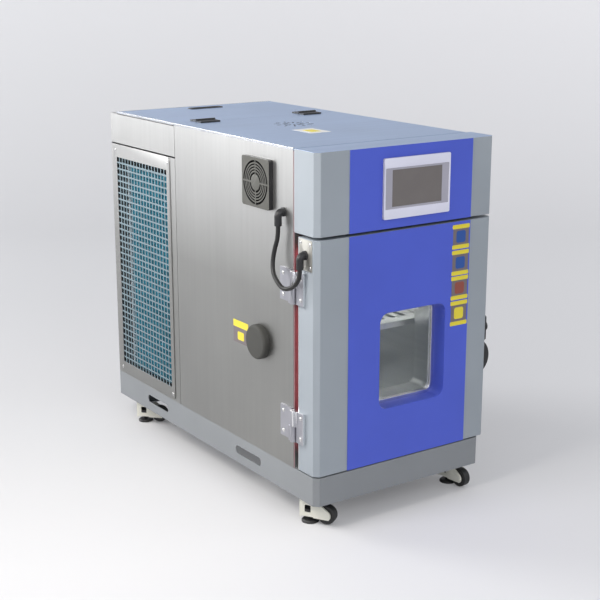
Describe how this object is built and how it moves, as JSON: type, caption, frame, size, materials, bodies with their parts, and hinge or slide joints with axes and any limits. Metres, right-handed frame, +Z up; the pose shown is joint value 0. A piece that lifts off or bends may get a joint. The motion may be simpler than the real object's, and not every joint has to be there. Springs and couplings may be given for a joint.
{
  "type": "environmental test chamber",
  "caption": "Bench-style temperature test chamber on levelling casters: insulated test space with a windowed hinged door, touch screen head, side port, condenser grille and service lid.",
  "frame": {"origin": "on the floor under the middle of the chamber, its free door cable and connectors left out", "axes": "+Z up, -Y out of the door, +X to the latch side"},
  "size_m": [0.6109, 1.048, 0.938],
  "materials": {
    "cabinet_steel": "satin brushed sheet",
    "top_steel": "satin brushed sheet, bright folded edges",
    "grey_paint": "satin powder coat",
    "blue_paint": "satin powder coat",
    "inner_steel": "bright brushed stainless",
    "insulation_foam": "rigid foam",
    "black_plastic": "fine moulded texture",
    "silver_plastic": "satin silver moulding",
    "screen_glass": "dark glossy panel",
    "window_glass": "clear glass",
    "seal_rubber": "matt silicone",
    "plug_rubber": "matt moulded rubber",
    "guard_plastic": "satin moulding",
    "coil_fins": "coated fins",
    "dull_steel": "plated sheet",
    "black_paint": "gloss enamel",
    "hinge_zinc": "satin plated",
    "control_gear": "moulded housings",
    "caster_body": "ivory moulding",
    "wheel_black": "smooth tread",
    "foot_rubber": "matt pad",
    "cable_rubber": "matt sleeve"
  },
  "bodies": {
    "cabinet": {"plinth": "grey_paint", "left_side_panel": "cabinet_steel", "right_side_panel": "cabinet_steel", "rear_casing": "cabinet_steel", "grille_surround": "cabinet_steel", "grille_sheet": "cabinet_steel", "grille_cross_bars": "cabinet_steel", "top_cover": "top_steel", "lid_hinge_bases": "black_plastic", "head_shell": "grey_paint", "head_blue_panel": "blue_paint", "hmi_bezel": "silver_plastic", "hmi_screen": "screen_glass", "front_frame": "inner_steel", "chamber_liner": "inner_steel", "insulation": "insulation_foam", "air_baffle": "inner_steel", "evaporator": "dull_steel", "heater": "dull_steel", "circulation_motor": "black_paint", "shelf": "inner_steel", "compressor": "black_paint", "condenser_housing": "dull_steel", "condenser_fins": "coil_fins", "control_plate": "control_gear", "vent_guard": "guard_plastic", "vent_fan_housing": "black_plastic", "hinge_cabinet_leaves": "hinge_zinc", "cabinet_connector": "black_plastic", "door_cable": "cable_rubber", "latch_keeper": "black_paint"},
    "door": {"door_shell": "grey_paint", "door_blue_panel": "blue_paint", "door_inner_panel": "inner_steel", "door_gasket": "seal_rubber", "window_glass": "window_glass", "window_frame": "hinge_zinc", "hinge_door_leaves": "hinge_zinc", "door_connector": "black_plastic", "latch_base": "black_paint"},
    "latch": {"latch_lever": "black_plastic"},
    "lid": {"rear_lid": "top_steel", "lid_hinge_leaves": "black_plastic", "lid_handle": "black_plastic"},
    "circulation_rotor": {"circulation_impeller": "dull_steel"},
    "condenser_rotor": {"condenser_fan_rotor": "black_paint"},
    "vent_rotor": {"vent_fan_rotor": "black_plastic"},
    "plug": {"port_plug": "plug_rubber"},
    "front_left_caster": {"front_left_caster_body": "caster_body"},
    "front_left_wheel": {"front_left_caster_wheel": "wheel_black"},
    "front_left_foot": {"front_left_levelling_foot": "foot_rubber"},
    "front_right_caster": {"front_right_caster_body": "caster_body"},
    "front_right_wheel": {"front_right_caster_wheel": "wheel_black"},
    "front_right_foot": {"front_right_levelling_foot": "foot_rubber"},
    "rear_left_caster": {"rear_left_caster_body": "caster_body"},
    "rear_left_wheel": {"rear_left_caster_wheel": "wheel_black"},
    "rear_left_foot": {"rear_left_levelling_foot": "foot_rubber"},
    "rear_right_caster": {"rear_right_caster_body": "caster_body"},
    "rear_right_wheel": {"rear_right_caster_wheel": "wheel_black"},
    "rear_right_foot": {"rear_right_levelling_foot": "foot_rubber"}
  },
  "joints": [
    {"name": "door_hinge", "type": "hinge", "parent": "cabinet", "child": "door", "pos_m": [-0.2856, -0.434, 0.4365], "axis": [0, 0, -1], "range_deg": [0, 110], "deforming": ["door_cable"]},
    {"name": "latch_turn", "type": "hinge", "parent": "door", "child": "latch", "pos_m": [0.2798, -0.476, 0.43], "axis": [-1, 0, 0], "range_deg": [0, 60]},
    {"name": "lid_hinge", "type": "hinge", "parent": "cabinet", "child": "lid", "pos_m": [-0.0146, 0.145, 0.934], "axis": [1, 0, 0], "range_deg": [0, 85]},
    {"name": "circulation_fan_spin", "type": "hinge", "parent": "cabinet", "child": "circulation_rotor", "pos_m": [-0.0146, 0.041, 0.411], "axis": [0, 1, 0], "continuous": true},
    {"name": "condenser_fan_spin", "type": "hinge", "parent": "cabinet", "child": "condenser_rotor", "pos_m": [-0.1666, 0.3155, 0.477], "axis": [1, 0, 0], "continuous": true},
    {"name": "vent_fan_spin", "type": "hinge", "parent": "cabinet", "child": "vent_rotor", "pos_m": [-0.2431, -0.276, 0.832], "axis": [1, 0, 0], "continuous": true},
    {"name": "port_plug_pull", "type": "slide", "parent": "cabinet", "child": "plug", "axis": [-1, 0, 0], "range_m": [0, 0.08]},
    {"name": "front_left_swivel", "type": "hinge", "parent": "cabinet", "child": "front_left_caster", "pos_m": [-0.2386, -0.44, 0.07], "axis": [0, 0, 1], "continuous": true},
    {"name": "front_left_roll", "type": "hinge", "parent": "front_left_caster", "child": "front_left_wheel", "pos_m": [-0.21491, -0.47943, 0.026], "axis": [-0.8572, -0.515, 0], "continuous": true},
    {"name": "front_left_level", "type": "slide", "parent": "front_left_caster", "child": "front_left_foot", "axis": [0, 0, 1], "range_m": [0, 0.01]},
    {"name": "front_right_swivel", "type": "hinge", "parent": "cabinet", "child": "front_right_caster", "pos_m": [0.2094, -0.44, 0.07], "axis": [0, 0, 1], "continuous": true},
    {"name": "front_right_roll", "type": "hinge", "parent": "front_right_caster", "child": "front_right_wheel", "pos_m": [0.21421, -0.48575, 0.026], "axis": [-0.9945, -0.1045, 0], "continuous": true},
    {"name": "front_right_level", "type": "slide", "parent": "front_right_caster", "child": "front_right_foot", "axis": [0, 0, 1], "range_m": [0, 0.01]},
    {"name": "rear_left_swivel", "type": "hinge", "parent": "cabinet", "child": "rear_left_caster", "pos_m": [-0.2386, 0.436, 0.07], "axis": [0, 0, 1], "continuous": true},
    {"name": "rear_left_roll", "type": "hinge", "parent": "rear_left_caster", "child": "rear_left_wheel", "pos_m": [-0.20723, 0.40236, 0.026], "axis": [-0.7314, -0.682, 0], "continuous": true},
    {"name": "rear_left_level", "type": "slide", "parent": "rear_left_caster", "child": "rear_left_foot", "axis": [0, 0, 1], "range_m": [0, 0.01]},
    {"name": "rear_right_swivel", "type": "hinge", "parent": "cabinet", "child": "rear_right_caster", "pos_m": [0.2094, 0.436, 0.07], "axis": [0, 0, 1], "continuous": true},
    {"name": "rear_right_roll", "type": "hinge", "parent": "rear_right_caster", "child": "rear_right_wheel", "pos_m": [0.22362, 0.39225, 0.026], "axis": [-0.9511, -0.309, 0], "continuous": true},
    {"name": "rear_right_level", "type": "slide", "parent": "rear_right_caster", "child": "rear_right_foot", "axis": [0, 0, 1], "range_m": [0, 0.01]}
  ]
}
